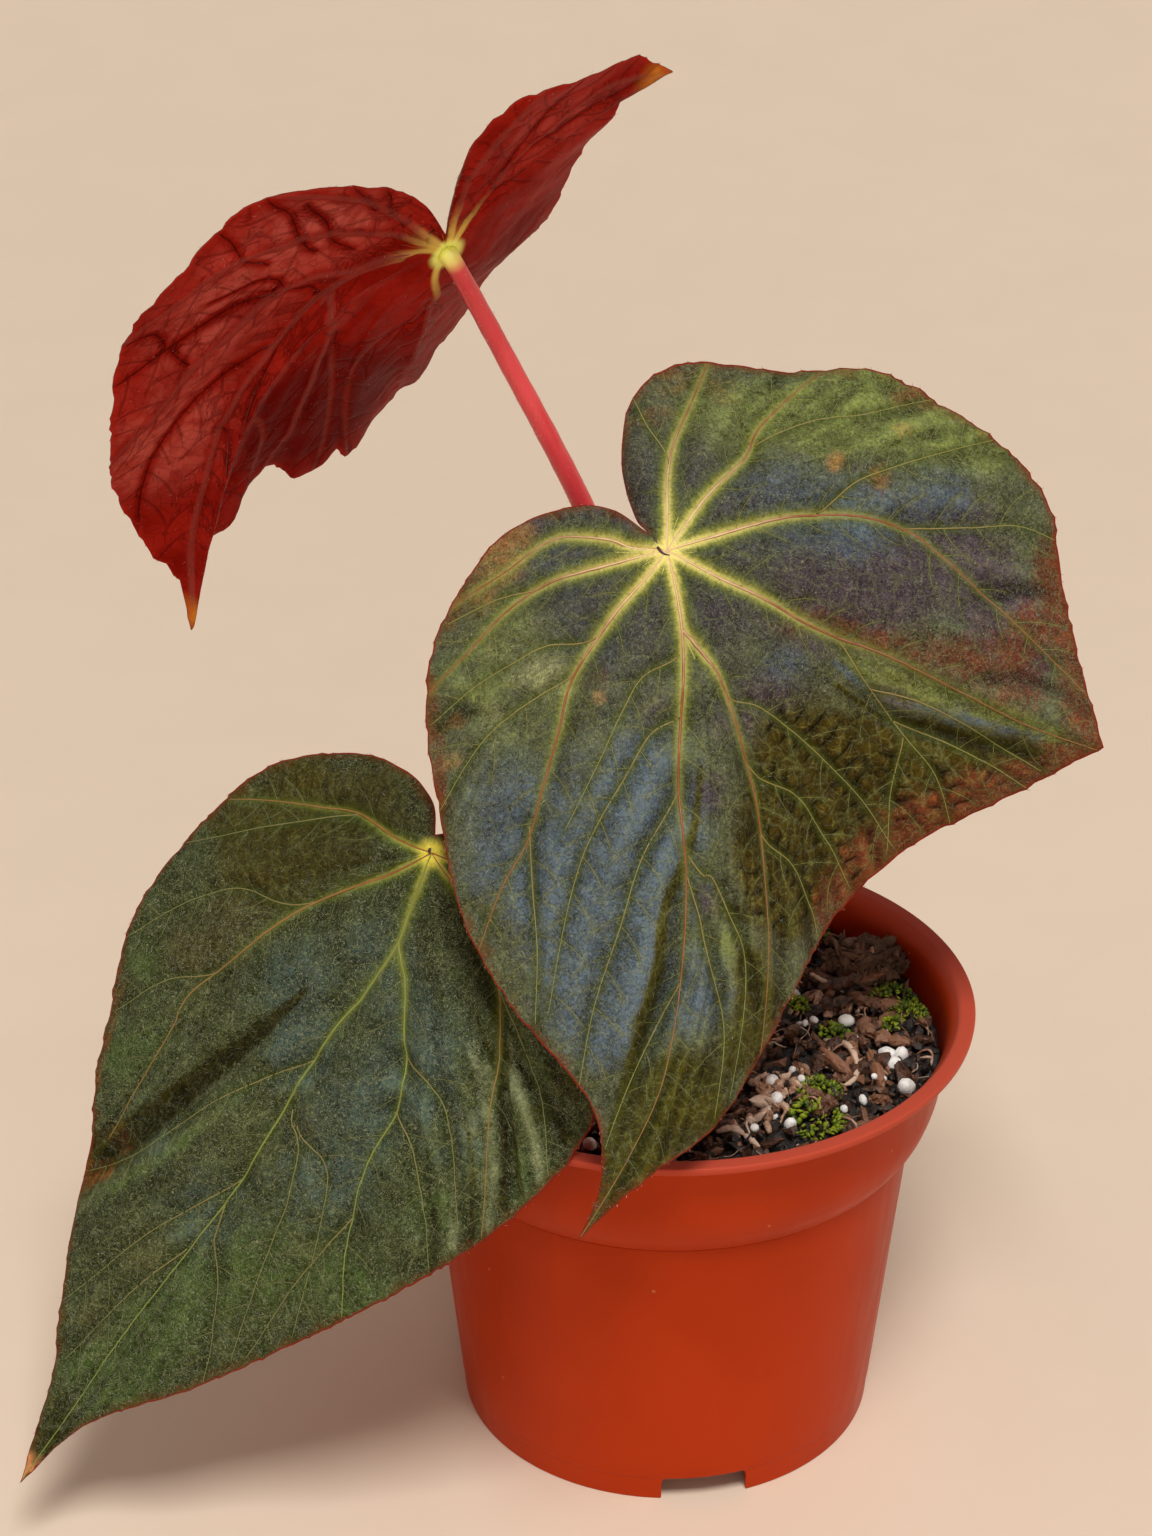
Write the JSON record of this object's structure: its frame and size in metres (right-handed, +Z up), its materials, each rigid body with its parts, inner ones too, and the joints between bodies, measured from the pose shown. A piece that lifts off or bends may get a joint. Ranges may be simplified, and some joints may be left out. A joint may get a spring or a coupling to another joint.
{
  "type": "potted begonia",
  "caption": "Patterned begonia with lopsided, toothed leaves on red stalks, growing from a creeping stem in bark mix in a round plastic nursery pot.",
  "frame": {"origin": "middle of the bounding box's base, on the surface that the pot stands on", "axes": "+Z up; -Y towards the viewer of the picture, where the two big leaves hang over the rim; +X to the right"},
  "size_m": [0.1784, 0.1212, 0.2464],
  "materials": {
    "pot_plastic": "satin terracotta-red polypropylene",
    "soil": "damp bark and peat mix with perlite",
    "stem_bark": "rough brown creeping stem",
    "stalk_red": "fleshy, hairy red stalk",
    "leaf_iridescent": "waxy blue-grey panels with yellow-green vein halos, red underside",
    "leaf_green": "waxy grey-green with yellow-green veins, red underside",
    "leaf_red": "dark green above, glossy crimson underside"
  },
  "bodies": {
    "root": {"pot": "pot_plastic", "potting_soil": "soil", "rhizome": "stem_bark", "petiole_centre": "stalk_red", "petiole_left": "stalk_red", "petiole_young": "stalk_red", "leaf_centre": "leaf_iridescent", "leaf_left": "leaf_green", "leaf_young": "leaf_red"}
  },
  "joints": []
}
